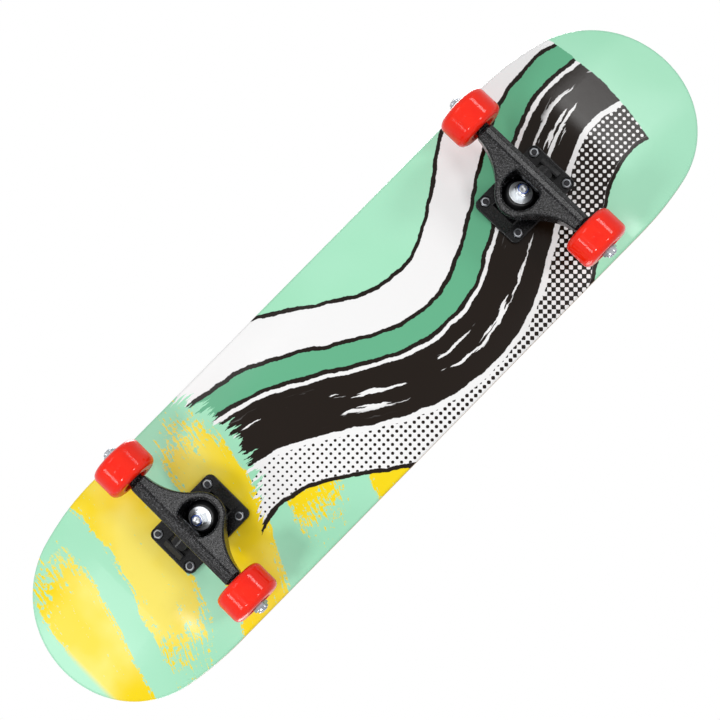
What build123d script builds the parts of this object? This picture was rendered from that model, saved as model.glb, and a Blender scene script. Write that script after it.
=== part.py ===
# Skateboard: a kicked, concave deck with grip tape on two kingpin trucks and four bearing wheels.
# Millimetres. X runs from tail to nose, Y to the rider's left, Z up, with the ground at zero.
import os
from math import asin, atan2, cos, degrees, radians, sin, sqrt, tan

from build123d import *

os.makedirs("parts", exist_ok=True)

# Deck and grip tape
deck_length = 802.0
deck_width = 200.0
deck_thickness = 10.5
tip_narrowing = 5.0
side_straight = 516.0
flat_width = 76.0
concave_radius = 240.0
kick_start = 251.0
kick_radius = 150.0
kick_angle = 20.0
deck_edge_radius = 3.0
grip_thickness = 0.9
grip_glue = 0.05
grip_margin = 0.4

# Truck mounting
wheelbase = 360.5
bolt_along = 63.5
bolt_across = 41.3
bolt_diameter = 4.8
bolt_head_diameter = 9.2
bolt_head_sink = 0.2
bolt_head_land = 0.3
bolt_hole_clearance = 0.2
bolt_socket_flats = 3.0
bolt_socket_depth = 1.8
bolt_tail = 1.2
mounting_nut_flats = 8.0
mounting_nut_height = 5.0
mounting_nut_hex_height = 3.5
mounting_nut_collar = 6.7

# Baseplate
base_outer_end = 38.5
base_inner_end = 41.5
base_width = 54.0
base_thickness = 6.0
base_corner = 6.0
plate_rounding = 1.2
nut_pocket_diameter = 11.4
nut_pocket_depth = 3.0
spine_width = 27.0
spine_height = 9.0
spine_edge = 0.8
ramp_toe = 4.0
wedge_width = 21.0
wedge_run = 8.5
wedge_toe = 2.5
wedge_height = 12.5
wedge_crest = 1.6
outer_pocket_length = 7.5
outer_pocket_floor = 2.5
boss_diameter = 30.0

# Kingpin and bushings, stacked along the kingpin from the deck side
truck_height = 54.0
axle_forward = 7.0
kingpin_foot = 20.8
kingpin_lean = 19.0
kingpin_diameter = 8.0
kingpin_clearance = 0.2
kingpin_head_flats = 13.0
kingpin_head_height = 5.0
kingpin_head_depth = 2.5
kingpin_tail = 2.0
boss_seat = 13.0
washer_thickness = 1.6
boardside_washer_diameter = 27.0
roadside_washer_diameter = 22.0
washer_edge = 0.5
bushing_diameter = 30.0
boardside_bushing_height = 11.0
roadside_bushing_height = 9.0
roadside_bushing_top = 25.0
bushing_waist = 1.2
kingpin_nut_flats = 13.0
kingpin_nut_height = 8.0
kingpin_nut_hex_height = 5.6
kingpin_nut_collar = 10.9

# Pivot
pivot_forward = 15.0
pivot_height = 13.0
pivot_radius = 4.9
pivot_clearance = 0.1
cup_wall = 2.0
cup_mouth = 5.0
cup_floor = 2.0
housing_wall = 2.6
pivot_stem_radius = 7.5
stem_shoulder = 0.5

# Hanger
hanger_length = 129.0
beam_width = 17.5
hanger_rounding = 3.0
ridge_offset = 1.5
ridge_height = 9.0
brow_run = 6.0
brow_drop = 2.2
shoulder_height = 2.0
neck_diameter = 14.2
neck_length = 3.3
ring_diameter = 45.0
ring_skirt = 2.0
ring_web = 4.0
ring_lip = 5.0
well_diameter = 35.0
well_corner = 6.0
well_land = 2.0
well_rounding = 1.6
well_step = 3.4
seat_clearance = 0.6
kingpin_hole_diameter = 15.0
nut_room = 1.3
washer_room = 2.0
axle_cover = 1.8

# Axle, wheels and bearings
axle_diameter = 7.94
axle_tail = 1.0
wheel_diameter = 51.0
wheel_width = 30.0
wheel_corner = 6.5
hub_mouth_diameter = 29.0
hub_floor_diameter = 25.0
hub_bore_diameter = 18.6
bearing_diameter = 22.0
bearing_bore = 8.0
bearing_width = 7.0
inner_ring_diameter = 12.1
outer_ring_bore = 17.9
ball_set_width = 4.0
race_clearance = 0.05
shield_thickness = 0.5
shield_recess = 0.15
shield_gap = 0.2
spacer_length = 10.0
spacer_diameter = 11.0
spacer_clearance = 0.1
speed_washer_diameter = 11.6
speed_washer_thickness = 1.0
axle_nut_flats = 13.0
axle_nut_height = 8.0
axle_nut_hex_height = 5.6
axle_nut_collar = 10.9

# Shared by all threads, nuts and cutters
thread_lead = 1.0
nut_chamfer = 30.0
nut_collar_edge = 0.7
cut_over = 1.0
cut_through = 150.0
flush_limit = 0.01

# Sizes worked out from the ones above
deck_under = wheel_diameter / 2 + truck_height
truck_offset = (wheelbase + bolt_along) / 2
grip_top = deck_thickness + grip_glue + grip_thickness
lean = radians(kingpin_lean)
boardside_washer_top = boss_seat + washer_thickness
ring_low = boardside_washer_top + boardside_bushing_height
ring_high = ring_low + ring_web
ring_middle = (ring_low + ring_high) / 2
roadside_washer_seat = ring_high + roadside_bushing_height
kingpin_nut_seat = roadside_washer_seat + washer_thickness
kingpin_nut_top = kingpin_nut_seat + kingpin_nut_height
hub_half = spacer_length / 2 + bearing_width
wheel_middle = hanger_length / 2 + speed_washer_thickness + hub_half
axle_nut_seat = wheel_middle + hub_half + speed_washer_thickness
axle_half = axle_nut_seat + axle_nut_height + axle_tail

# Frames of a truck: X away from the middle of the board, Z away from the deck
kingpin_frame = Pos(-kingpin_foot, 0, 0) * Rot(0, kingpin_lean, 0)


def on_kingpin(across, along):
    x = -kingpin_foot + across * cos(lean) + along * sin(lean)
    z = along * cos(lean) - across * sin(lean)
    return (x, z)


ring_x, ring_z = on_kingpin(0, ring_middle)
pivot_tilt = degrees(atan2(ring_x - pivot_forward, ring_z - pivot_height))
cup_floor_depth = -(pivot_radius + pivot_clearance + cup_floor)
pivot_frame = Pos(pivot_forward, 0, pivot_height) * Rot(0, pivot_tilt, 0)


# General shapes
def tube(outer, inner, low, high):
    ring = Circle(outer / 2) - Circle(inner / 2)
    return Pos(0, 0, low) * extrude(ring, high - low)


def rod(diameter, low, high):
    return Pos(0, 0, low) * extrude(Circle(diameter / 2), high - low)


def hexagon(flats):
    return RegularPolygon(flats / 2, 6, major_radius=False)


def lock_nut(flats, height, hex_height, collar, bore):
    # A hex with its corners turned off and a collar that holds a nylon ring
    corner = flats / sqrt(3)
    drop = (corner - flats / 2) * tan(radians(nut_chamfer))
    profile = Polyline(
        (0, 0),
        (flats / 2, 0),
        (corner, drop),
        (corner, hex_height - drop),
        (flats / 2, hex_height),
        (collar / 2, hex_height),
        (collar / 2, height - nut_collar_edge),
        (collar / 2 - nut_collar_edge, height),
        (0, height),
        (0, 0),
    )
    turned = revolve(Plane.XZ * make_face(profile), Axis.Z)
    body = extrude(hexagon(flats), hex_height) + rod(collar, 0, height)
    return (body & turned) - rod(bore, 0, height)


# Deck
def outline(inset):
    half = deck_width / 2 - inset
    tip = half - tip_narrowing
    straight = side_straight / 2
    tip_centre = deck_length / 2 - inset - tip
    run = tip_centre - straight
    sweep = (run**2 + half**2 - tip**2) / (2 * (half - tip))
    turn = atan2(run, sweep - half)
    join = (tip_centre + tip * sin(turn), tip * cos(turn))
    middle = (straight + sweep * sin(turn / 2), half - sweep * (1 - cos(turn / 2)))
    end = (tip_centre + tip, 0)
    edges = []
    for sx, sy in ((1, 1), (1, -1), (-1, -1), (-1, 1)):
        edges.append(Line((0, half * sy), (straight * sx, half * sy)))
        edges.append(
            ThreePointArc(
                (straight * sx, half * sy),
                (middle[0] * sx, middle[1] * sy),
                (join[0] * sx, join[1] * sy),
            )
        )
    for sx in (1, -1):
        edges.append(
            ThreePointArc((join[0] * sx, join[1]), (end[0] * sx, end[1]), (join[0] * sx, -join[1]))
        )
    return make_face(edges)


def board_section(depth_low, depth_high):
    # The concave cross-section between two heights above the underside
    half_flat = flat_width / 2
    reach = deck_width / 2 - half_flat + deck_thickness
    spread = asin(reach / concave_radius)

    def at(height, angle, side):
        radius = concave_radius - height
        return (side * (half_flat + radius * sin(angle)), concave_radius - radius * cos(angle))

    edges = [
        Line(at(depth_low, 0, -1), at(depth_low, 0, 1)),
        Line(at(depth_high, 0, -1), at(depth_high, 0, 1)),
    ]
    for side in (-1, 1):
        for height in (depth_low, depth_high):
            edges.append(
                ThreePointArc(
                    at(height, 0, side), at(height, spread / 2, side), at(height, spread, side)
                )
            )
        edges.append(Line(at(depth_low, spread, side), at(depth_high, spread, side)))
    return make_face(edges)


def board_layer(depth_low, depth_high, inset):
    section = Plane.YZ * board_section(depth_low, depth_high)
    flat = Pos(-kick_start, 0, 0) * extrude(section, 2 * kick_start)
    kick_axis = Axis((kick_start, 0, kick_radius), (0, -1, 0))
    start = Pos(kick_start, 0, 0) * section
    bend = revolve(start, kick_axis, kick_angle)
    rise = radians(kick_angle)
    uphill = (cos(rise), 0, sin(rise))
    slope = extrude(start.rotate(kick_axis, kick_angle), deck_length / 2, dir=uphill)
    kick = bend + slope
    blank = flat + kick + mirror(kick, Plane.YZ)
    return blank & extrude(outline(inset), deck_length)


def bolt_places():
    # The four bolts of one truck, on its own axes
    return [
        (x, y)
        for x in (-bolt_along / 2, bolt_along / 2)
        for y in (-bolt_across / 2, bolt_across / 2)
    ]


def countersunk(clearance):
    # A countersunk head with its top at zero, pointing down
    top = bolt_head_diameter / 2 + clearance
    shank = bolt_diameter / 2 + clearance
    low = shank - top - bolt_head_land
    profile = Polyline((0, 0), (top, 0), (top, -bolt_head_land), (shank, low), (0, low), (0, 0))
    return revolve(Plane.XZ * make_face(profile), Axis.Z)


def bolt_cutters():
    # Holes for all eight bolts, through the deck and the grip tape
    head_top = grip_top - bolt_head_sink
    mouth = bolt_head_diameter + 2 * bolt_hole_clearance
    hole = rod(bolt_diameter + 2 * bolt_hole_clearance, -cut_over, head_top)
    head = Pos(0, 0, head_top) * countersunk(bolt_hole_clearance)
    cutter = hole + head + rod(mouth, head_top, head_top + cut_over)
    return [Pos(end * truck_offset + x, y, 0) * cutter for end in (1, -1) for x, y in bolt_places()]


def make_deck():
    board = board_layer(0, deck_thickness, 0)
    walls = [face for face in board.faces() if abs(face.normal_at().Z) < 0.001]
    rim = [edge for wall in walls for edge in wall.edges() if abs(edge.tangent_at(0.5).Z) < 0.9]
    return board.fillet(deck_edge_radius, rim) - bolt_cutters()


def make_grip_tape():
    low = deck_thickness + grip_glue
    tape = board_layer(low, low + grip_thickness, deck_edge_radius + grip_margin)
    return tape - bolt_cutters()


# Truck, on its own axes
def make_mounting_bolts():
    head_top = bolt_head_sink - grip_top
    end = base_thickness - nut_pocket_depth + mounting_nut_height + bolt_tail
    socket = extrude(hexagon(bolt_socket_flats), -bolt_socket_depth)
    head = Rot(180, 0, 0) * (countersunk(0) - socket)
    low = (bolt_head_diameter - bolt_diameter) / 2 + bolt_head_land
    bolt = Pos(0, 0, head_top) * (head + rod(bolt_diameter, low, end - head_top))
    return [Pos(x, y, 0) * bolt for x, y in bolt_places()]


def make_mounting_nuts():
    seat = base_thickness - nut_pocket_depth
    nut = lock_nut(
        mounting_nut_flats,
        mounting_nut_height,
        mounting_nut_hex_height,
        mounting_nut_collar,
        bolt_diameter,
    )
    return [Pos(x, y, seat) * nut for x, y in bolt_places()]


def above_deck(shape):
    return shape & Pos(0, 0, cut_through / 2) * Box(cut_through, cut_through, cut_through)


def make_baseplate():
    base_length = base_outer_end + base_inner_end
    base_middle = (base_outer_end - base_inner_end) / 2
    plate = extrude(RectangleRounded(base_length, base_width, base_corner), base_thickness)
    plate = Pos(base_middle, 0, 0) * fillet(plate.faces().sort_by(Axis.Z)[-1].edges(), plate_rounding)
    crest_far = base_outer_end - wedge_run
    crest_near = crest_far - wedge_crest
    spine_end = crest_near - outer_pocket_length
    # The spine climbs from the inner end to the boss and runs on to the outer pocket
    spine_profile = Polyline(
        (-base_inner_end, 0),
        (-base_inner_end, ramp_toe),
        on_kingpin(-boss_diameter / 2, boss_seat),
        on_kingpin(boss_diameter / 2, boss_seat),
        (spine_end, spine_height),
        (spine_end, 0),
        (-base_inner_end, 0),
    )
    spine = extrude(Plane.XZ * make_face(spine_profile), spine_width / 2, both=True)
    spine = chamfer(spine.edges().filter_by(Axis.Y, reverse=True).group_by(Axis.Z)[-1], spine_edge)
    # A wedge falls from its crest to the outer end, past the pocket
    wedge_profile = Polyline(
        (base_outer_end, 0),
        (base_outer_end, wedge_toe),
        (crest_far, wedge_height),
        (crest_near, wedge_height),
        (crest_near, 0),
        (base_outer_end, 0),
    )
    wedge = extrude(Plane.XZ * make_face(wedge_profile), wedge_width / 2, both=True)
    boss = above_deck(kingpin_frame * rod(boss_diameter, -boss_seat, boss_seat))
    cup_radius = pivot_radius + pivot_clearance + cup_wall
    housing_radius = cup_radius + housing_wall
    housing_end = pivot_radius + pivot_clearance + cup_floor + housing_wall
    housing = pivot_frame * rod(2 * housing_radius, -housing_end, cup_mouth)
    tilt = radians(pivot_tilt)
    foot_near = pivot_forward + cup_mouth * sin(tilt)
    foot_far = pivot_forward - housing_end * sin(tilt)
    footing_profile = Polyline(
        (foot_near, 0),
        (foot_near, pivot_height + cup_mouth * cos(tilt)),
        (foot_far, pivot_height - housing_end * cos(tilt)),
        (foot_far, 0),
        (foot_near, 0),
    )
    footing = extrude(Plane.XZ * make_face(footing_profile), housing_radius, both=True)
    body = plate + spine + wedge + boss + above_deck(housing) + footing
    pocket = extrude(Rectangle(outer_pocket_length, wedge_width), wedge_height)
    cuts = [Pos((spine_end + crest_near) / 2, 0, outer_pocket_floor) * pocket]
    nut_floor = base_thickness - nut_pocket_depth
    for x, y in bolt_places():
        cuts.append(Pos(x, y, 0) * rod(bolt_diameter + 2 * bolt_hole_clearance, -cut_over, base_thickness))
        cuts.append(Pos(x, y, 0) * rod(nut_pocket_diameter, nut_floor, base_thickness + cut_over))
    head_seat = kingpin_head_depth + kingpin_head_height
    head_room = hexagon(kingpin_head_flats + 2 * kingpin_clearance)
    cuts.append(kingpin_frame * Pos(0, 0, head_seat) * extrude(head_room, -cut_through))
    cuts.append(kingpin_frame * rod(kingpin_diameter + 2 * kingpin_clearance, 0, boss_seat + cut_over))
    cuts.append(kingpin_frame * rod(boss_diameter, boss_seat, boss_seat + spine_height))
    cuts.append(pivot_frame * rod(2 * cup_radius, cup_floor_depth, cut_through))
    return body - cuts


def make_pivot_cup():
    inner = pivot_radius + pivot_clearance
    cup = rod(2 * (inner + cup_wall), cup_floor_depth, cup_mouth)
    return pivot_frame * (cup - Sphere(inner) - rod(2 * inner, 0, cup_mouth + cut_over))


def make_kingpin():
    head_seat = kingpin_head_depth + kingpin_head_height
    head = Pos(0, 0, kingpin_head_depth) * extrude(hexagon(kingpin_head_flats), kingpin_head_height)
    shank = rod(kingpin_diameter, head_seat, kingpin_nut_top + kingpin_tail)
    shank = chamfer(shank.edges().sort_by(Axis.Z)[-1], thread_lead)
    return kingpin_frame * (head + shank)


def cup_washer(diameter, seat):
    bore = kingpin_diameter + 2 * kingpin_clearance
    disc = rod(diameter, seat, seat + washer_thickness)
    disc = fillet(disc.edges(), washer_edge)
    return kingpin_frame * (disc - rod(bore, seat, seat + washer_thickness))


def make_boardside_bushing():
    # A barrel with a shallow waist
    radius = bushing_diameter / 2
    bore = kingpin_diameter / 2 + kingpin_clearance
    low = boardside_washer_top
    waist = (radius - bushing_waist, (low + ring_low) / 2)
    profile = make_face(
        [
            Line((bore, low), (radius, low)),
            ThreePointArc((radius, low), waist, (radius, ring_low)),
            Line((radius, ring_low), (bore, ring_low)),
            Line((bore, ring_low), (bore, low)),
        ]
    )
    return kingpin_frame * revolve(Plane.XZ * profile, Axis.Z)


def make_roadside_bushing():
    # A cone that narrows to the washer
    bore = kingpin_diameter / 2 + kingpin_clearance
    high = roadside_washer_seat
    profile = Polyline(
        (bore, ring_high),
        (bushing_diameter / 2, ring_high),
        (bushing_diameter / 2, ring_high + bushing_waist),
        (roadside_bushing_top / 2, high),
        (bore, high),
        (bore, ring_high),
    )
    return kingpin_frame * revolve(Plane.XZ * make_face(profile), Axis.Z)


def make_kingpin_nut():
    nut = lock_nut(
        kingpin_nut_flats,
        kingpin_nut_height,
        kingpin_nut_hex_height,
        kingpin_nut_collar,
        kingpin_diameter,
    )
    return kingpin_frame * Pos(0, 0, kingpin_nut_seat) * nut


def arm_outline(near, far, reach):
    # Seen from the road, about the ring's middle: the ring, and arms that sweep out to the beam
    ring = ring_diameter / 2
    sweep = (near**2 + reach**2 - ring**2) / (2 * (ring + near))
    middle = near - sweep
    touch = ring / (ring + sweep)
    bow = atan2(reach, -middle) / 2
    arc_x = middle + sweep * cos(bow)
    arc_y = reach - sweep * sin(bow)
    edges = [Line((far, -reach), (far, reach))]
    for side in (-1, 1):
        joint = (middle * touch, reach * touch * side)
        edges.append(Line((far, reach * side), (near, reach * side)))
        edges.append(ThreePointArc((near, reach * side), (arc_x, arc_y * side), joint))
        edges.append(ThreePointArc(joint, (-ring * cos(bow), ring * sin(bow) * side), (-ring, 0)))
    return make_face(edges)


def make_hanger():
    beam_in = axle_forward - beam_width / 2
    beam_out = axle_forward + beam_width / 2
    beam_low = truck_height - beam_width / 2
    beam_half = hanger_length / 2 - neck_length
    ring = ring_diameter / 2
    skirt = ring_low - ring_skirt
    ridge = (axle_forward - ridge_offset, truck_height + ridge_height)
    brow = (ridge[0] + brow_run, ridge[1] - brow_drop)
    shoulder = (beam_out, truck_height + shoulder_height)
    rim_x = on_kingpin(0, ring_high + ring_lip)[0]
    lip = (rim_x - ring, on_kingpin(-ring, ring_high + ring_lip)[1])
    low_in = (rim_x - ring, on_kingpin(-ring, skirt)[1])
    low_out = on_kingpin(ring, skirt)

    plan = arm_outline(beam_in - rim_x, beam_out - rim_x, beam_half)
    arms = Pos(rim_x, 0, 0) * extrude(plan, cut_through)
    side_view = Polyline(low_in, lip, ridge, brow, shoulder, (beam_out, beam_low), low_out, low_in)
    arms = arms & extrude(Plane.XZ * make_face(side_view), cut_through, both=True)
    front_view = Polyline(
        (-ring, low_out[1]),
        (ring, low_out[1]),
        (beam_half, beam_low),
        (beam_half, ridge[1]),
        (-beam_half, ridge[1]),
        (-beam_half, beam_low),
        (-ring, low_out[1]),
    )
    arms = arms & extrude(Plane.YZ * make_face(front_view), cut_through, both=True)
    arms = arms.fillet(hanger_rounding, arms.edges())
    across = Pos(axle_forward, 0, truck_height) * Rot(90, 0, 0)
    necks = across * rod(neck_diameter, -hanger_length / 2, -beam_half)
    necks += across * rod(neck_diameter, beam_half, hanger_length / 2)

    pivot_reach = sqrt((pivot_forward - ring_x) ** 2 + (pivot_height - ring_z) ** 2)
    well_bore = well_diameter + 2 * seat_clearance
    stem_end = pivot_reach - well_bore / 2 - seat_clearance
    stem_view = Polyline(
        (0, 0),
        (pivot_radius, 0),
        (pivot_radius, cup_mouth + stem_shoulder),
        (pivot_stem_radius, stem_end),
        (0, stem_end),
        (0, 0),
    )
    stem = pivot_frame * (revolve(Plane.XZ * make_face(stem_view), Axis.Z) + Sphere(pivot_radius))
    body = arms + necks + stem

    seat = bushing_diameter + 2 * seat_clearance
    well_low = ring_high + well_step
    washer_clear = kingpin_nut_seat + washer_room
    nut_clear = kingpin_nut_top + nut_room
    nut_wall = on_kingpin(kingpin_nut_flats / sqrt(3), kingpin_nut_top)[0] + nut_room
    well_wall = ridge[0] - well_land
    axle_tube = axle_diameter / 2 + axle_cover
    axle_wall = axle_forward - axle_tube
    span = Rectangle(cut_through, cut_through, align=(Align.MAX, Align.CENTER))
    nut_well = kingpin_frame * rod(well_bore, washer_clear, nut_clear)
    nut_well = nut_well & extrude(Pos(nut_wall, 0) * span, cut_through)
    mouth_x = on_kingpin(0, kingpin_nut_seat)[0]
    mouth = Pos(mouth_x, 0) * Circle(well_diameter / 2) & Pos(well_wall, 0) * span
    mouth = fillet(mouth.vertices(), well_corner)
    mouth_low = lip[1] - ring_lip / 2
    low_mouth = mouth & Pos(axle_wall, 0) * span
    low_well = Pos(0, 0, mouth_low) * extrude(low_mouth, truck_height - mouth_low)
    top_well = Pos(0, 0, truck_height) * extrude(mouth, cut_through)
    top_well = top_well - across * rod(2 * axle_tube, -beam_half, beam_half)
    cuts = [
        kingpin_frame * rod(seat, skirt - cut_over, ring_low),
        kingpin_frame * rod(kingpin_hole_diameter, skirt, ring_high + cut_over),
        kingpin_frame * rod(seat, ring_high, well_low),
        kingpin_frame * rod(well_bore, well_low, washer_clear),
        nut_well,
        low_well,
        top_well,
        across * rod(axle_diameter, -axle_half, axle_half),
    ]
    hanger = body - cuts
    slope = (ridge[1] - lip[1]) / (ridge[0] - lip[0])

    rim_reach = well_diameter / 2 + seat_clearance

    def on_rim(edge):
        places = [edge.position_at(share) for share in (0, 0.5, 1)]
        flush = [abs(lip[1] + slope * (place.X - lip[0]) - place.Z) < flush_limit for place in places]
        near = [sqrt((place.X - mouth_x) ** 2 + place.Y**2) < rim_reach for place in places]
        return all(flush + near)

    rim = [edge for edge in hanger.edges() if on_rim(edge)]
    return hanger.fillet(well_rounding, rim)


def make_axle():
    across = Pos(axle_forward, 0, truck_height) * Rot(90, 0, 0)
    bar = rod(axle_diameter, -axle_half, axle_half)
    return across * chamfer(bar.edges(), thread_lead)


# Wheel and bearings, on the axle with Z pointing out
def make_wheel():
    half = wheel_width / 2
    tread = wheel_diameter / 2
    turn = wheel_corner * (1 - sin(radians(45)))
    edges = [Line((tread, -(half - wheel_corner)), (tread, half - wheel_corner))]
    shoulder = spacer_length / 2
    for side in (-1, 1):
        corner_low = (tread, side * (half - wheel_corner))
        corner_mid = (tread - turn, side * (half - turn))
        corner_high = (tread - wheel_corner, side * half)
        edges.append(ThreePointArc(corner_low, corner_mid, corner_high))
        edges += Polyline(
            corner_high,
            (hub_mouth_diameter / 2, side * half),
            (hub_floor_diameter / 2, side * hub_half),
            (bearing_diameter / 2, side * hub_half),
            (bearing_diameter / 2, side * shoulder),
            (hub_bore_diameter / 2, side * shoulder),
        ).edges()
    edges.append(Line((hub_bore_diameter / 2, -shoulder), (hub_bore_diameter / 2, shoulder)))
    return revolve(Plane.XZ * make_face(edges), Axis.Z)


def bearing_pair(shape):
    # The two bearings of a wheel, from a shape about a bearing's own middle
    offset = (spacer_length + bearing_width) / 2
    return [Pos(0, 0, -offset) * shape, Pos(0, 0, offset) * shape]


def make_shields():
    high = bearing_width / 2 - shield_recess
    bore = inner_ring_diameter + 2 * shield_gap
    outer = tube(outer_ring_bore, bore, high - shield_thickness, high)
    inner = tube(outer_ring_bore, bore, -high, shield_thickness - high)
    return bearing_pair(outer) + bearing_pair(inner)


def make_axle_nut():
    nut = lock_nut(
        axle_nut_flats,
        axle_nut_height,
        axle_nut_hex_height,
        axle_nut_collar,
        axle_diameter,
    )
    return Pos(0, 0, wheel_end) * nut


half_bearing = bearing_width / 2
half_balls = ball_set_width / 2
half_spacer = spacer_length / 2
ball_outside = outer_ring_bore - 2 * race_clearance
ball_inside = inner_ring_diameter + 2 * race_clearance
washer_bore = axle_diameter + spacer_clearance
wheel_end = hub_half + speed_washer_thickness
outer_ring = tube(bearing_diameter, outer_ring_bore, -half_bearing, half_bearing)
inner_ring = tube(inner_ring_diameter, bearing_bore, -half_bearing, half_bearing)
ball_set = tube(ball_outside, ball_inside, -half_balls, half_balls)

wheel_pieces = {
    "wheel": [make_wheel()],
    "bearing_outer_rings": bearing_pair(outer_ring),
    "bearing_inner_rings": bearing_pair(inner_ring),
    "bearing_ball_sets": bearing_pair(ball_set),
    "bearing_shields": make_shields(),
    "bearing_spacer": [tube(spacer_diameter, washer_bore, -half_spacer, half_spacer)],
    "speed_washers": [
        tube(speed_washer_diameter, washer_bore, hub_half, wheel_end),
        tube(speed_washer_diameter, washer_bore, -wheel_end, -hub_half),
    ],
    "axle_nut": [make_axle_nut()],
}

truck_pieces = {
    "baseplate": [make_baseplate()],
    "pivot_cup": [make_pivot_cup()],
    "kingpin": [make_kingpin()],
    "boardside_washer": [cup_washer(boardside_washer_diameter, boss_seat)],
    "boardside_bushing": [make_boardside_bushing()],
    "roadside_bushing": [make_roadside_bushing()],
    "roadside_washer": [cup_washer(roadside_washer_diameter, roadside_washer_seat)],
    "kingpin_nut": [make_kingpin_nut()],
    "hanger": [make_hanger()],
    "axle": [make_axle()],
    "mounting_bolts": make_mounting_bolts(),
    "mounting_nuts": make_mounting_nuts(),
}

# Put everything in place on the board and write one file for each node
board_frame = Pos(0, 0, deck_under)
nodes = {
    "deck": [board_frame * make_deck()],
    "grip_tape": [board_frame * make_grip_tape()],
}
for end, direction in (("nose", 1), ("tail", -1)):
    facing = Rot(180, 0, 0) if direction > 0 else Rot(0, 180, 0)
    truck_frame = Pos(direction * truck_offset, 0, deck_under) * facing
    for piece, solids in truck_pieces.items():
        nodes[f"{end}_{piece}"] = [truck_frame * solid for solid in solids]
    for hand, side in (("left", 1), ("right", -1)):
        axle_place = Pos(direction * (truck_offset + axle_forward), side * wheel_middle, wheel_diameter / 2)
        wheel_frame = axle_place * Rot(-90 * side, 0, 0)
        for piece, solids in wheel_pieces.items():
            nodes[f"{end}_{hand}_{piece}"] = [wheel_frame * solid for solid in solids]

for node, solids in nodes.items():
    shape = solids[0] if len(solids) == 1 else Compound(children=solids)
    export_step(shape, f"parts/{node}.step")
print(len(nodes), "nodes")
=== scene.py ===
from math import cos, pi, radians, sin

import bpy
from mathutils import Matrix, Vector


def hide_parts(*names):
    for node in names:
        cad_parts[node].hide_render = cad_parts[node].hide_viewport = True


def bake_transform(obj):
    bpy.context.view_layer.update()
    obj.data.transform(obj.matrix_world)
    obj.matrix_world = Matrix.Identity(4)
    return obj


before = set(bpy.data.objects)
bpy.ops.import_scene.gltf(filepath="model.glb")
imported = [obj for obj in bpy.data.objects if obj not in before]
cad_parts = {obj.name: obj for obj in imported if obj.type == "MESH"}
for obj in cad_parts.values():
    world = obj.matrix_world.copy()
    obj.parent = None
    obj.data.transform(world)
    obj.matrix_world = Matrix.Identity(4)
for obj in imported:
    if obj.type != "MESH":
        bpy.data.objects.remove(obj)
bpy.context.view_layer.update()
scene = bpy.context.scene
ends = {"nose": 1, "tail": -1}
print("frame loaded:", len(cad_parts), "nodes")


class Value:  # one socket of a material, which can be used in sums
    def __init__(self, shade, socket):
        self.shade = shade
        self.socket = socket

    def calc(self, operation, *others):
        return self.shade.node("ShaderNodeMath", {"operation": operation}, [self, *others])

    def __add__(self, other):
        return self.calc("ADD", other)

    def __sub__(self, other):
        return self.calc("SUBTRACT", other)

    def __mul__(self, other):
        return self.calc("MULTIPLY", other)

    def __truediv__(self, other):
        return self.calc("DIVIDE", other)

    def __pow__(self, other):
        return self.calc("POWER", other)

    def __lt__(self, other):
        return self.calc("LESS_THAN", other)

    def __abs__(self):
        return self.calc("ABSOLUTE")

    def __rsub__(self, other):  # the other number comes first
        return self.shade.node("ShaderNodeMath", {"operation": "SUBTRACT"}, [other, self])

    __radd__ = __add__
    __rmul__ = __mul__

    def least(self, other):
        return self.calc("MINIMUM", other)

    def most(self, other):
        return self.calc("MAXIMUM", other)

    def wave(self):
        return self.calc("SINE")

    def root(self):
        return self.calc("SQRT")

    def step(self, low, high):  # 0 below low, 1 above high, smooth between
        sockets = {"Value": self, "From Min": low, "From Max": high, "To Min": 0, "To Max": 1}
        return self.shade.node("ShaderNodeMapRange", {"interpolation_type": "SMOOTHSTEP"}, sockets)

    def between(self, low, high, soft):
        return self.step(low - soft, low + soft) * (1 - self.step(high - soft, high + soft))


class Shade:  # one material
    def __init__(self, name):
        self.material = bpy.data.materials.new(name)
        self.material.use_nodes = True
        self.tree = self.material.node_tree
        self.tree.nodes.clear()
        self.place = self.node("ShaderNodeTexCoord", out="Object")
        parts = [self.node("ShaderNodeSeparateXYZ", {}, [self.place], out) for out in "XYZ"]
        self.x, self.y, self.z = parts

    def node(self, kind, settings=None, inputs=None, out=0):
        made = self.tree.nodes.new(kind)
        for key, setting in (settings or {}).items():
            setattr(made, key, setting)
        sockets = inputs.items() if isinstance(inputs, dict) else enumerate(inputs or [])
        for key, value in sockets:
            if isinstance(value, Value):
                self.tree.links.new(value.socket, made.inputs[key])
            else:
                made.inputs[key].default_value = value
        return Value(self, made.outputs[out]) if made.outputs else None

    def vector(self, x, y, z):
        return self.node("ShaderNodeCombineXYZ", {}, [x, y, z])

    def stretched(self, x, y, z):  # the place, with a scale of its own along each axis
        return self.vector(self.x * x, self.y * y, self.z * z)

    def noise(self, scale, detail=2.0, rough=0.5, at=None):
        sockets = {"Vector": at or self.place, "Scale": scale, "Detail": detail, "Roughness": rough}
        return self.node("ShaderNodeTexNoise", {}, sockets)

    def cells(self, scale, out="Distance"):
        return self.node("ShaderNodeTexVoronoi", {}, {"Vector": self.place, "Scale": scale}, out)

    def mix(self, share, first, second):
        return self.node("ShaderNodeMix", {"data_type": "RGBA"}, {0: share, 6: first, 7: second}, 2)

    def bump(self, height, distance):
        return self.node("ShaderNodeBump", {}, {"Height": height, "Distance": distance, "Strength": 1.0})

    def surface(self, sockets):
        shader = self.node("ShaderNodeBsdfPrincipled", {}, sockets)
        self.node("ShaderNodeOutputMaterial", {}, [shader])
        return self.material


def ink(red, green, blue):  # a colour as a paint chart gives it, 0 to 255
    def linear(part):
        part = part / 255
        return part / 12.92 if part < 0.04045 else ((part + 0.055) / 1.055) ** 2.4
    return (linear(red), linear(green), linear(blue), 1.0)


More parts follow.
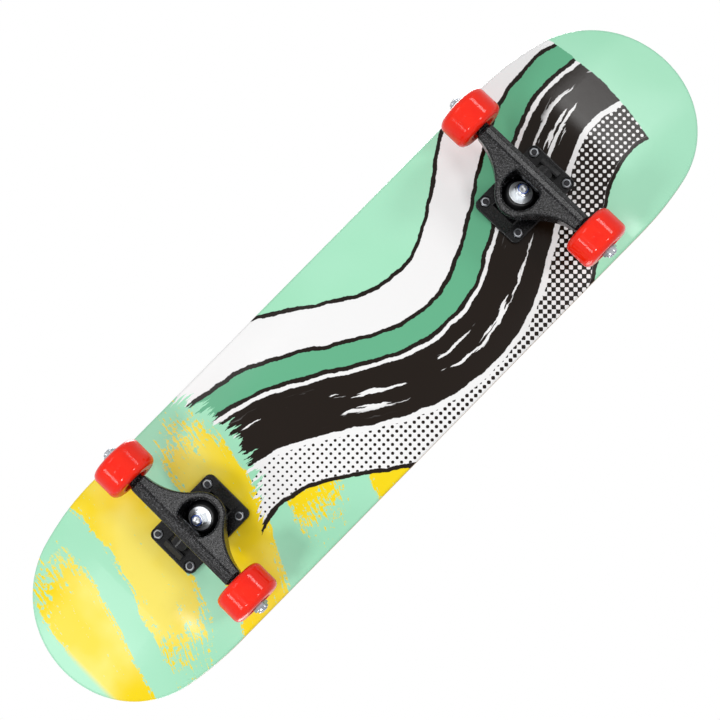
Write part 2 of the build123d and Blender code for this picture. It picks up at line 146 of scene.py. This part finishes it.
def dress(ending, material):  # puts a material on every node whose name ends so
    found = [node for name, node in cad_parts.items() if name.endswith(ending)]
    for node in found:
        node.data.materials.clear()
        node.data.materials.append(material)
    print("dressed", len(found), "x", ending)


hair = 0.0001  # metres: how soft the edge of a painted or plated area is


def deselect():
    for item in list(bpy.context.selected_objects):
        item.select_set(False)


# Deck: lacquered maple plies with a printed underside
deck = {
    "under": 0.0795, "thickness": 0.0105, "plies": 7,
    "flatHalf": 0.038, "concave": 0.240,
    "kickStart": 0.251, "kickRadius": 0.150, "kickAngle": radians(20),
    "printEdge": 0.0016, "printRough": 0.21, "woodRough": 0.45,
    "gloss": 0.10, "coat": 0.12, "coatRough": 0.20, "texture": 0.00006,
    "grain": (9, 150, 420), "pores": (60, 900, 900),
    "mint": ink(167, 233, 196), "mintLight": ink(177, 239, 205), "mintDark": ink(105, 184, 143),
    "yellow": ink(255, 224, 22), "yellowPale": ink(255, 237, 108),
    "white": ink(250, 250, 250), "black": ink(25, 15, 7),
    "maple": ink(222, 184, 134), "mapleDark": ink(190, 146, 96), "glue": ink(120, 84, 50),
}
stroke = {  # yellow brush strokes across the tail
    "first": -0.392, "pitch": 0.088, "half": 0.0325, "reach": (-0.385, -0.02),
    "slant": 0.30, "bow": 1.6, "wander": 0.018, "ragged": 0.009,
    "streakAcross": 380, "streakAlong": 14, "fleckScale": 210,
    "dryEnd": (0.02, 0.12), "dryness": 0.26, "wornHalf": 0.030, "wornEdge": 0.10, "cover": (0.365, 0.38),
}
ribbon = {  # bands that sway along the middle, each with its two edges across the band's line
    "crest": -0.150, "length": 0.46, "sway": 0.046, "edgeSoft": 0.0003,
    "all": (-0.081, 0.087), "broadWhite": (-0.077, -0.040), "green": (-0.036, -0.016),
    "thinWhite": (-0.012, -0.0085), "glints": (0.002, 0.030), "outerWhite": (0.041, 0.083),
    "dotted": (0.046, 0.083), "dotPitch": 0.0080, "dotGrowth": 2.2, "dotLevel": 0.30,
    "start": -0.130, "tear": 0.06, "sweepX": 0.05, "sweepY": -0.03, "sweepRadius": 0.290,
}


def plyHeight(shade):  # height above the underside, measured through the bent plies
    along = abs(shade.x) - deck["kickStart"]
    drop = deck["kickRadius"] - (shade.z - deck["under"])
    bend = along.calc("ARCTAN2", drop).most(0).least(deck["kickAngle"])
    level = deck["kickRadius"] - (along * bend.wave() + drop * bend.calc("COSINE"))
    side = (abs(shade.y) - deck["flatHalf"]).most(0)
    lift = deck["concave"] - level
    return deck["concave"] - (side * side + lift * lift).root()


def strokes(shade):  # where the strokes cover: dry at one end, flecked all over
    wander = shade.noise(16, 1) * stroke["wander"]
    bow = shade.y * shade.y * stroke["bow"]
    at = shade.x + shade.y * stroke["slant"] + bow + wander - stroke["first"]
    number = (at / stroke["pitch"]).calc("FLOOR")
    over = at - number * stroke["pitch"] - stroke["pitch"] / 2
    flip = number.calc("MODULO", 2) * 2 - 1  # every other stroke is drawn the other way
    bristles = shade.vector(at * stroke["streakAcross"], shade.y * stroke["streakAlong"], number * 7)
    streaks = shade.noise(1, 4, 0.62, bristles)
    flecks = shade.noise(stroke["fleckScale"], 4, 0.75)
    worn = (abs(over) / stroke["wornHalf"]) ** 6 * stroke["wornEdge"]
    dry = (shade.y * flip).step(*stroke["dryEnd"]) * stroke["dryness"] + worn
    load = streaks * 0.5 + flecks * 0.5 - dry
    half = stroke["half"] + (streaks - 0.5) * stroke["ragged"]
    return (abs(over) < half) * load.step(*stroke["cover"]) * shade.x.between(*stroke["reach"], 0.004)


def ribbonLine(shade):  # how far a point is from the line that the ribbons follow
    turn = 2 * pi / ribbon["length"]
    sway = (shade.x - ribbon["crest"]) * turn
    middle = sway.calc("COSINE") * -ribbon["sway"]
    lean = sway.wave() * (ribbon["sway"] * turn)
    return (shade.y - middle) / (lean * lean + 1).root()


def ribbonDots(shade):  # a screen of dots, set on the slant, that grow towards the nose
    turn = 2 * pi / ribbon["dotPitch"] * cos(radians(45))
    rows = ((shade.x + shade.y) * turn).wave() * ((shade.x - shade.y) * turn).wave()
    return (rows + shade.x * ribbon["dotGrowth"] - ribbon["dotLevel"]).step(0.0, 0.08)


def ribbonInks(shade, off):
    def lane(name, soft=ribbon["edgeSoft"]):
        return off.between(*ribbon[name], soft)

    band = shade.mix(lane("broadWhite"), deck["black"], deck["white"])
    band = shade.mix(lane("green"), band, deck["mintDark"])
    band = shade.mix(lane("thinWhite"), band, deck["white"])
    brushed = shade.noise(1, 3, 0.55, shade.vector(shade.x * 13, off * 120, 3))
    band = shade.mix(lane("glints", 0.005) * brushed.step(0.59, 0.61), band, deck["white"])
    band = shade.mix(lane("outerWhite"), band, deck["white"])
    return shade.mix(lane("dotted") * ribbonDots(shade), band, deck["black"])


def deckPrint(shade):
    colour = shade.mix(shade.noise(7, 2).step(0.35, 0.65), deck["mint"], deck["mintLight"])
    paint = shade.mix(shade.noise(9, 3).step(0.42, 0.62), deck["yellow"], deck["yellowPale"])
    colour = shade.mix(strokes(shade), colour, paint)
    handCut = (shade.noise(46, 3) - 0.5) * 0.007 + (shade.noise(330, 2) - 0.5) * 0.0014
    off = ribbonLine(shade) + handCut
    # the ribbons start in torn ends and stop in a round sweep before the tip
    torn = shade.noise(1, 3, 0.6, shade.vector(shade.x * 20, off * 260, 0))
    start = shade.x + off * off * 6 + (torn - 0.5) * ribbon["tear"] - ribbon["start"]
    ahead = shade.x - ribbon["sweepX"]
    aside = shade.y - ribbon["sweepY"]
    past = (ahead * ahead + aside * aside).root() + handCut - ribbon["sweepRadius"]
    soft = 0.0005
    inside = start.step(-soft, soft) * (1 - past.step(-soft, soft))
    whole = inside * off.between(*ribbon["all"], ribbon["edgeSoft"])
    return shade.mix(whole, colour, ribbonInks(shade, off))


def mapleEdge(shade, height):  # plies of two tones, with pores and dark glue lines
    plyNumber = height * (deck["plies"] / deck["thickness"])
    plyEven = plyNumber.calc("FLOOR").calc("MODULO", 2)
    grain = shade.noise(1, 4, 0.6, shade.stretched(*deck["grain"]))
    pores = shade.noise(1, 2, 0.5, shade.stretched(*deck["pores"]))
    wood = shade.mix(grain.step(0.3, 0.7), deck["maple"], deck["mapleDark"])
    wood = shade.mix(plyEven * 0.45, wood, deck["mapleDark"])
    wood = shade.mix(pores.step(0.62, 0.72) * 0.35, wood, deck["glue"])
    seam = abs(plyNumber - (plyNumber + 0.5).calc("FLOOR"))
    return shade.mix((1 - seam.step(0.04, 0.10)) * 0.75, wood, deck["glue"]), grain


def deckFinish():
    shade = Shade("lacqueredDeck")
    height = plyHeight(shade)
    wood, grain = mapleEdge(shade, height)
    uneven = (shade.noise(240, 2) - 0.5) * 0.0005
    bare = (height + uneven).step(deck["printEdge"] - hair, deck["printEdge"] + hair)
    drift = (shade.noise(35, 3) - 0.5) * 0.06
    return shade.surface({
        "Base Color": shade.mix(bare, deckPrint(shade), wood),
        "Roughness": bare * (deck["woodRough"] - deck["printRough"]) + deck["printRough"] + drift,
        "Specular IOR Level": deck["gloss"],
        "Coat Weight": (1 - bare) * deck["coat"], "Coat Roughness": deck["coatRough"],
        "Normal": shade.bump(shade.noise(150, 2) + bare * grain * 0.6, deck["texture"]),
    })


dress("deck", deckFinish())


# Grip tape: black grit that glitters
grip = {
    "base": ink(13, 13, 14), "grit": ink(38, 38, 40), "gritScale": 1500, "gritHeight": 0.00035,
    "spark": 0.80, "rough": 0.92, "sparkRough": 0.37, "gloss": 0.12,
}


def gripFinish():
    shade = Shade("gripGrit")
    lot = shade.node("ShaderNodeSeparateColor", {}, [shade.cells(grip["gritScale"], "Color")])
    shine = lot.step(grip["spark"], grip["spark"] + 0.04)
    drift = shade.noise(14, 3)
    return shade.surface({
        "Base Color": shade.mix(lot * 0.6 + drift * 0.35, grip["base"], grip["grit"]),
        "Roughness": grip["rough"] - shine * (grip["rough"] - grip["sparkRough"]),
        "Specular IOR Level": grip["gloss"],
        "Normal": shade.bump(1 - shade.cells(grip["gritScale"]), grip["gritHeight"]),
    })


dress("grip_tape", gripFinish())


# Hangers, baseplates and pivot cups: black moulded nylon with a sparked texture
moulding = {
    "black": ink(2, 2, 3), "dustAndGlint": ink(75, 75, 78), "textureScale": 600,
    # grain: how much of the speck tone is mixed in, partly dust and partly painted glints
    "hanger": {"depth": 0.00017, "rough": 0.12, "gloss": 0.20, "grain": 0.85},
    "baseplate": {"depth": 0.00002, "rough": 0.13, "gloss": 0.24, "grain": 0.2},
    "pivotCup": {"depth": 0.00003, "rough": 0.40, "gloss": 0.20, "grain": 0.3},
}


def mouldedFinish(name, depth, rough, gloss, grain):
    shade = Shade(name)
    sparked = shade.noise(moulding["textureScale"], 3, 0.6)
    pits = shade.cells(moulding["textureScale"] * 0.9)
    flow = shade.noise(30, 3)
    # lighter specks on the sparked peaks: partly dust, partly painted glints where light would catch the
    # grain
    dustAndGlintShare = flow * 0.04 + sparked.step(0.50, 0.66) * grain
    return shade.surface({
        "Base Color": shade.mix(dustAndGlintShare, moulding["black"], moulding["dustAndGlint"]),
        "Roughness": rough + sparked * 0.12 + flow * 0.06, "Specular IOR Level": gloss,
        "Normal": shade.bump(sparked * 0.7 + pits * 0.5, depth),
    })


dress("hanger", mouldedFinish("hangerMoulding", **moulding["hanger"]))
dress("baseplate", mouldedFinish("baseplateMoulding", **moulding["baseplate"]))
dress("pivot_cup", mouldedFinish("cupMoulding", **moulding["pivotCup"]))


# Bright metal: zinc plate, turned and ground steel
zinc = {
    "bright": (ink(236, 239, 242), ink(206, 210, 215)),
    "plain": (ink(184, 187, 192), ink(146, 150, 156)),
    # zinc for the mounting nuts, dull and darkened further as painted shade of the deep pockets they sit in
    "shadedDullGrey": (ink(124, 126, 130), ink(90, 92, 96)),
    "nylon": ink(40, 88, 190), "nylonDark": ink(24, 25, 29),
    "washerRough": 0.28, "nutRough": 0.10, "threadRough": 0.22, "mountingRough": 0.30,
    "scratches": (2400, 300, 2400), "scratchDepth": 0.00002,
}
truck = {
    "offset": 0.212, "foot": 0.0208, "lean": radians(19), "axleX": 0.219, "axleZ": 0.0255,
    "nutTop": 0.0482, "nutEnd": 0.0985, "ringRadius": 0.00485, "ringDepth": 0.0004,
    "kingpinPitch": 0.00125, "axlePitch": 0.00106, "threadDepth": 0.3,
    "boltX": 0.03175, "boltY": 0.02065, "collar": 0.0727, "collarRimHighlight": (0.0028, 0.00345),
}
bolt = {
    "dark": ink(30, 30, 32), "light": ink(62, 62, 66), "metal": 0.8, "rough": 0.30,
    "pitch": 0.0008, "threadTop": 0.078, "threadDepth": 0.0002,
}


def kingpinPlace(shade):  # how far along the kingpin, how far out from it, and to which side
    out = abs(shade.x) - truck["offset"] + truck["foot"]
    down = deck["under"] - shade.z
    along = out * sin(truck["lean"]) + down * cos(truck["lean"])
    across = out * cos(truck["lean"]) - down * sin(truck["lean"])
    return along, (across * across + shade.y * shade.y).root(), across


def axlePlace(shade):  # the same three for the axle
    out = abs(shade.x) - truck["axleX"]
    up = shade.z - truck["axleZ"]
    return abs(shade.y), (out * out + up * up).root(), out


def metalParts(shade, tone, rough):
    cloud = shade.noise(160, 3)
    scratch = shade.noise(1, 2, 0.5, shade.stretched(*zinc["scratches"]))
    colour = shade.mix(cloud.step(0.35, 0.7), *zinc[tone])
    return colour, rough + cloud * 0.14 + scratch * 0.06, shade.bump(scratch, zinc["scratchDepth"])


def zincFinish(name):
    shade = Shade(name)
    colour, rough, normal = metalParts(shade, "bright", zinc["washerRough"])
    return shade.surface({"Base Color": colour, "Metallic": 1.0, "Roughness": rough, "Normal": normal})


def nutFinish(name, tone, placer, top):  # zinc with a nylon ring in its collar
    shade = Shade(name)
    colour, rough, normal = metalParts(shade, tone, zinc["nutRough"])
    along, out, _ = placer(shade)
    inside = 1 - out.step(truck["ringRadius"] - hair, truck["ringRadius"])
    seat = top - truck["ringDepth"]
    ring = along.step(seat - hair, seat) * inside
    return shade.surface({
        "Base Color": shade.mix(ring, colour, zinc["nylon"]), "Metallic": 1 - ring,
        "Roughness": rough + ring * 0.15, "Normal": normal,
    })


def threadFinish(name, tone, placer, pitch):  # a rolled thread, as a helix round the bar
    shade = Shade(name)
    colour, rough, _ = metalParts(shade, tone, zinc["threadRough"])
    along, _, aside = placer(shade)
    angle = (shade.y if placer is kingpinPlace else shade.z).calc("ARCTAN2", aside)
    ridge = (along * (2 * pi / pitch) + angle).wave()
    normal = shade.bump(ridge, pitch * truck["threadDepth"])
    return shade.surface({"Base Color": colour, "Metallic": 1.0, "Roughness": rough, "Normal": normal})


def mountingNutFinish():  # zinc, dull and darkened as painted shade of its pocket, with a bright rim that is a painted highlight, round a dark nylon ring
    shade = Shade("mountingNutZinc")
    colour, rough, normal = metalParts(shade, "shadedDullGrey", zinc["mountingRough"])
    inX = abs(abs(shade.x) - truck["offset"]) - truck["boltX"]
    inY = abs(shade.y) - truck["boltY"]
    out = (inX * inX + inY * inY).root()
    rimStart = truck["collarRimHighlight"][0]
    end = 1 - shade.z.step(truck["collar"] - 2 * hair, truck["collar"])
    # the collar's rim in bright zinc is a painted highlight
    colour = shade.mix(end * out.between(*truck["collarRimHighlight"], hair), colour, zinc["bright"][1])
    nylon = end * (1 - out.step(rimStart - 2 * hair, rimStart))
    return shade.surface({
        "Base Color": shade.mix(nylon, colour, zinc["nylonDark"]), "Metallic": 1 - nylon,
        "Roughness": rough, "Normal": normal,
    })


def boltFinish():
    shade = Shade("blackBolt")
    cloud = shade.noise(260, 3)
    ridge = (shade.z * (2 * pi / bolt["pitch"])).wave() * (shade.z < bolt["threadTop"])
    return shade.surface({
        "Base Color": shade.mix(cloud, bolt["dark"], bolt["light"]), "Metallic": bolt["metal"],
        "Roughness": bolt["rough"] + cloud * 0.2, "Normal": shade.bump(ridge, bolt["threadDepth"]),
    })


dress("washer", zincFinish("washerZinc"))
dress("speed_washers", zincFinish("speedWasherZinc"))
dress("bearing_spacer", zincFinish("spacerSteel"))
dress("kingpin_nut", nutFinish("kingpinNutZinc", "bright", kingpinPlace, truck["nutTop"]))
dress("axle_nut", nutFinish("axleNutZinc", "plain", axlePlace, truck["nutEnd"]))
dress("kingpin", threadFinish("kingpinSteel", "bright", kingpinPlace, truck["kingpinPitch"]))
dress("_axle", threadFinish("axleSteel", "plain", axlePlace, truck["axlePitch"]))
dress("mounting_nuts", mountingNutFinish())
dress("mounting_bolts", boltFinish())


# Bearings: ground rings, balls in a cage, pressed shields
bearing = {
    "steel": ink(214, 217, 221), "shield": ink(188, 192, 197), "shadow": ink(150, 154, 160),
    "ringRough": 0.14, "ballRough": 0.08, "shieldRough": 0.26,
    "lathePitch": 0.00042, "latheDepth": 0.00002,
}


def bearingFinish(name, tone, rough):
    shade = Shade(name)
    _, out, _ = axlePlace(shade)
    lathe = (out * (2 * pi / bearing["lathePitch"])).wave()
    cloud = shade.noise(300, 2)
    return shade.surface({
        "Base Color": shade.mix(cloud * 0.6 + lathe * 0.1 + 0.1, bearing[tone], bearing["shadow"]),
        "Metallic": 1.0, "Roughness": rough + cloud * 0.1,
        "Normal": shade.bump(lathe, bearing["latheDepth"]),
    })


dress("bearing_outer_rings", bearingFinish("outerRingSteel", "steel", bearing["ringRough"]))
dress("bearing_inner_rings", bearingFinish("innerRingSteel", "steel", bearing["ringRough"]))
dress("bearing_ball_sets", bearingFinish("ballSteel", "steel", bearing["ballRough"]))
dress("bearing_shields", bearingFinish("shieldSteel", "shield", bearing["shieldRough"]))


# Wheels: glossy red urethane
wheel = {
    "red": ink(255, 40, 14), "deep": ink(252, 32, 10), "rough": 0.08, "faceRough": 0.12, "gloss": 0.22,
    "middle": 0.0775, "face": (0.0146, 0.0149), "lathePitch": 0.0009,
    "parting": (0.0001, 0.0004), "texture": 0.00008,
}


def wheelFinish():
    shade = Shade("redUrethane")
    along, out, _ = axlePlace(shade)
    cloud = shade.noise(60, 3)
    offset = abs(along - wheel["middle"])
    face = offset.step(*wheel["face"])  # the turned ends
    lathe = (out * (2 * pi / wheel["lathePitch"])).wave() * face
    parting = 1 - offset.step(*wheel["parting"])  # the mould's parting line round the tread
    peel = shade.noise(240, 2)
    return shade.surface({
        "Base Color": shade.mix(cloud.step(0.35, 0.7), wheel["red"], wheel["deep"]),
        "Roughness": wheel["rough"] + cloud * 0.06 + face * wheel["faceRough"],
        "Specular IOR Level": wheel["gloss"],
        "Normal": shade.bump(lathe * 0.10 + parting * 0.5 + peel * 0.25, wheel["texture"]),
    })


dress("wheel", wheelFinish())


# Bushings: soft urethane rings that squeeze between the washers and the hanger
bushing = {
    "sides": 48, "bore": 0.0042, "radius": 0.015, "topRadius": 0.0125, "waist": 0.0012, "waistRows": 6,
    "edge": 0.0008, "edgeRows": 3, "edgeAngle": radians(40), "smoothAngle": radians(35),
    "boardside": (0.0146, 0.0256), "roadside": (0.0296, 0.0386),  # from and to, along the kingpin
    "black": ink(22, 22, 23), "worn": ink(40, 40, 42), "rough": 0.36, "texture": 0.00006, "ringPitch": 0.0011,
}


def bushingFinish():
    shade = Shade("bushingUrethane")
    cloud = shade.noise(120, 3)
    fine = shade.noise(700, 2)
    along, _, _ = kingpinPlace(shade)
    rings = (along * (2 * pi / bushing["ringPitch"])).wave()
    return shade.surface({
        "Base Color": shade.mix(cloud * 0.7 + fine * 0.3, bushing["black"], bushing["worn"]),
        "Roughness": bushing["rough"] + cloud * 0.12,
        "Normal": shade.bump(fine * 0.5 + rings * 0.08, bushing["texture"]),
    })


def pickVerts(mesh, test):
    bpy.ops.object.mode_set(mode="OBJECT")
    for vert in mesh.vertices:
        vert.select = test(vert.co)
    for edge in mesh.edges:
        edge.select = all(mesh.vertices[n].select for n in edge.vertices)
    for face in mesh.polygons:
        face.select = all(mesh.vertices[n].select for n in face.vertices)
    bpy.ops.object.mode_set(mode="EDIT")


def atLevel(co, level):
    return abs(co.z - level) < 1e-5


def scaleRing(share):
    bpy.ops.transform.resize(value=(share, share, 1))


def meshNow(item):  # the mesh's points as edit mode has left them
    item.update_from_editmode()
    return list(item.data.vertices)


def bushingShape(name, low, high, coned):  # stands on its own axis first, then goes to the kingpin
    deselect()
    height = high - low
    size = {"vertices": bushing["sides"], "radius": bushing["radius"], "depth": height}
    bpy.ops.mesh.primitive_cylinder_add(**size, end_fill_type="NOTHING", location=(0, 0, 0))
    ring = bpy.context.object
    ring.name = name
    mesh = ring.data
    bpy.ops.object.mode_set(mode="EDIT")
    bpy.ops.mesh.select_mode(type="VERT")
    bpy.ops.mesh.select_all(action="SELECT")
    bpy.ops.mesh.bisect(plane_co=(0, 0, 0), plane_no=(0, 0, 1))
    if coned:  # a narrower end, and a straight foot as high as the waist is deep
        pickVerts(mesh, lambda co: atLevel(co, height / 2))
        scaleRing(bushing["topRadius"] / bushing["radius"])
        pickVerts(mesh, lambda co: atLevel(co, 0))
        bpy.ops.transform.translate(value=(0, 0, bushing["waist"] - height / 2))
    else:  # a barrel with a hollow waist
        pickVerts(mesh, lambda co: atLevel(co, 0))
        bpy.ops.mesh.bevel(offset=height * 0.3, offset_type="OFFSET", segments=bushing["waistRows"])
        for level in sorted({round(v.co.z, 6) for v in meshNow(ring)}):
            if abs(level) < height * 0.45:
                pickVerts(mesh, lambda co: atLevel(co, level))
                scaleRing(1 - bushing["waist"] / bushing["radius"] * (1 - (2 * level / height) ** 2))
    # the flat ends and the bore
    for level in (-height / 2, height / 2):
        pickVerts(mesh, lambda co: atLevel(co, level))
        bpy.ops.mesh.extrude_region_move()
        radius = max(v.co.xy.length for v in meshNow(ring) if atLevel(v.co, level))
        scaleRing(bushing["bore"] / radius)
    pickVerts(mesh, lambda co: co.xy.length < bushing["bore"] * 1.01)
    bpy.ops.mesh.bridge_edge_loops()
    bpy.ops.mesh.select_all(action="SELECT")
    bpy.ops.mesh.remove_doubles(threshold=1e-6)
    bpy.ops.mesh.normals_make_consistent(inside=False)
    bpy.ops.object.mode_set(mode="OBJECT")
    soften = ring.modifiers.new("edges", "BEVEL")
    soften.width = bushing["edge"]
    soften.segments = bushing["edgeRows"]
    soften.limit_method = "ANGLE"
    soften.angle_limit = bushing["edgeAngle"]
    bpy.ops.object.modifier_apply(modifier=soften.name)
    bpy.ops.object.shade_smooth_by_angle(angle=bushing["smoothAngle"])
    return ring


def onKingpin(end, along):
    out = truck["offset"] - truck["foot"] + along * sin(truck["lean"])
    return Vector((ends[end] * out, 0, deck["under"] - along * cos(truck["lean"])))


bushingUrethane = bushingFinish()
for end in ends:
    for seat in ("boardside", "roadside"):
        low, high = bushing[seat]
        coned = seat == "roadside"
        ring = bushingShape(f"{end}_{seat}_bushing_soft", low, high, coned)
        # the axis points down the kingpin, away from the deck
        down = (onKingpin(end, 1) - onKingpin(end, 0)).normalized()
        side = Vector((0, 1, 0))
        turn = Matrix((side.cross(down), side, down)).transposed().to_4x4()
        ring.data.transform(Matrix.Translation(onKingpin(end, (low + high) / 2)) @ turn)
        ring.data.materials.append(bushingUrethane)
        washerEnd, ringEnd = (high, low) if coned else (low, high)
        onKingpin(end, washerEnd)
        onKingpin(end, ringEnd)
        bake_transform(ring)
        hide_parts(f"{end}_{seat}_bushing")
print("bushings modelled")


# Floor, light and camera
studio = {
    "floor": 0.86, "floorRadius": 2.0, "floorSides": 96, "fade": (0.35, 0.9), "ambient": 0.41,
    "aim": (0, 0, 0.06),
    "lamps": [  # place, size, watts
        ((-1.2, 0.2, -1.5), 0.3, 9),
        ((0.75, 0.75, -1.5), 0.3, 6.5),
        ((-0.5, -1.1, -1.9), 0.9, 8),
        ((1.80, -0.22, -1.25), 0.4, 6.5),
        ((-1.94, -0.23, -1.15), 0.4, 5.5),
        ((0.9, -1.4, 1.9), 1.2, 36),
        ((-1.2, 1.2, 1.4), 1.0, 15),
    ],
}
cameraPlace = {
    "location": (-0.049075, 0.192186, -1.709540), "turn": (-174.6107, -3.3649, 45.3582),
    "lens": 98.754, "sensor": 36, "farthest": 100,
}


def floorFinish():  # pale floor, clear from below so that the underside can be seen and lit
    shade = Shade("paleFloor")
    rays = ("Is Shadow Ray", "Is Glossy Ray", "Is Diffuse Ray", "Diffuse Depth")
    shadow, glossy, scattered, bounces = (shade.node("ShaderNodeLightPath", out=ray) for ray in rays)
    under = shade.node("ShaderNodeNewGeometry", out="Backfacing")
    reach = (shade.x * shade.x + shade.y * shade.y).root()
    fade = reach.step(*(studio["floorRadius"] * share for share in studio["fade"]))
    # lamps and sky below light what is seen of the underside, and nothing by way of the floor
    lit = (shadow * (bounces < 0.5)).most(scattered * (bounces < 1.5))
    clear = (under * (1 - shadow)).most(lit).most(glossy).most(fade)
    pale = (studio["floor"],) * 3 + (1,)
    plain = shade.node("ShaderNodeBsdfDiffuse", {}, {"Color": pale})
    glass = shade.node("ShaderNodeBsdfTransparent")
    shown = shade.node("ShaderNodeMixShader", {}, [clear, plain, glass])
    shade.node("ShaderNodeOutputMaterial", {}, [shown])
    return shade.material


deselect()
disc = {"vertices": studio["floorSides"], "radius": studio["floorRadius"], "fill_type": "NGON"}
bpy.ops.mesh.primitive_circle_add(**disc, location=(0, 0, 0))
floor = bpy.context.object
floor.name = "studioFloor"
floor.data.materials.append(floorFinish())

world = bpy.data.worlds.new("studioWorld")
scene.world = world
world.use_nodes = True
sky = world.node_tree
sky.nodes.clear()
# what is seen is white, and what only lights the scene is the dimmer ambient
path = sky.nodes.new("ShaderNodeLightPath")
seen = path.outputs["Is Camera Ray"]
for ray in ("Is Glossy Ray", "Is Transmission Ray"):
    either = sky.nodes.new("ShaderNodeMath")
    either.operation = "MAXIMUM"
    sky.links.new(seen, either.inputs[0])
    sky.links.new(path.outputs[ray], either.inputs[1])
    seen = either.outputs[0]
level = sky.nodes.new("ShaderNodeMapRange")
level.inputs["To Min"].default_value = studio["ambient"]
level.inputs["To Max"].default_value = 1.0
sky.links.new(seen, level.inputs["Value"])
backdrop = sky.nodes.new("ShaderNodeBackground")
backdrop.inputs["Color"].default_value = (1, 1, 1, 1)
sky.links.new(level.outputs[0], backdrop.inputs["Strength"])
skyOut = sky.nodes.new("ShaderNodeOutputWorld")
sky.links.new(backdrop.outputs[0], skyOut.inputs[0])

for number, (place, size, watts) in enumerate(studio["lamps"]):
    lamp = bpy.data.lights.new(f"softbox{number}", "AREA")
    lamp.size = size
    lamp.energy = watts
    stand = bpy.data.objects.new(f"softbox{number}", lamp)
    stand.location = place
    stand.rotation_euler = (Vector(studio["aim"]) - Vector(place)).to_track_quat("-Z", "Y").to_euler()
    scene.collection.objects.link(stand)

camera = bpy.data.objects.new("camera", bpy.data.cameras.new("camera"))
camera.location = cameraPlace["location"]
camera.rotation_euler = [radians(angle) for angle in cameraPlace["turn"]]
camera.data.lens = cameraPlace["lens"]
camera.data.sensor_width = cameraPlace["sensor"]
camera.data.clip_end = cameraPlace["farthest"]
scene.collection.objects.link(camera)
scene.camera = camera
scene.view_settings.view_transform = "Standard"
print("studio ready")
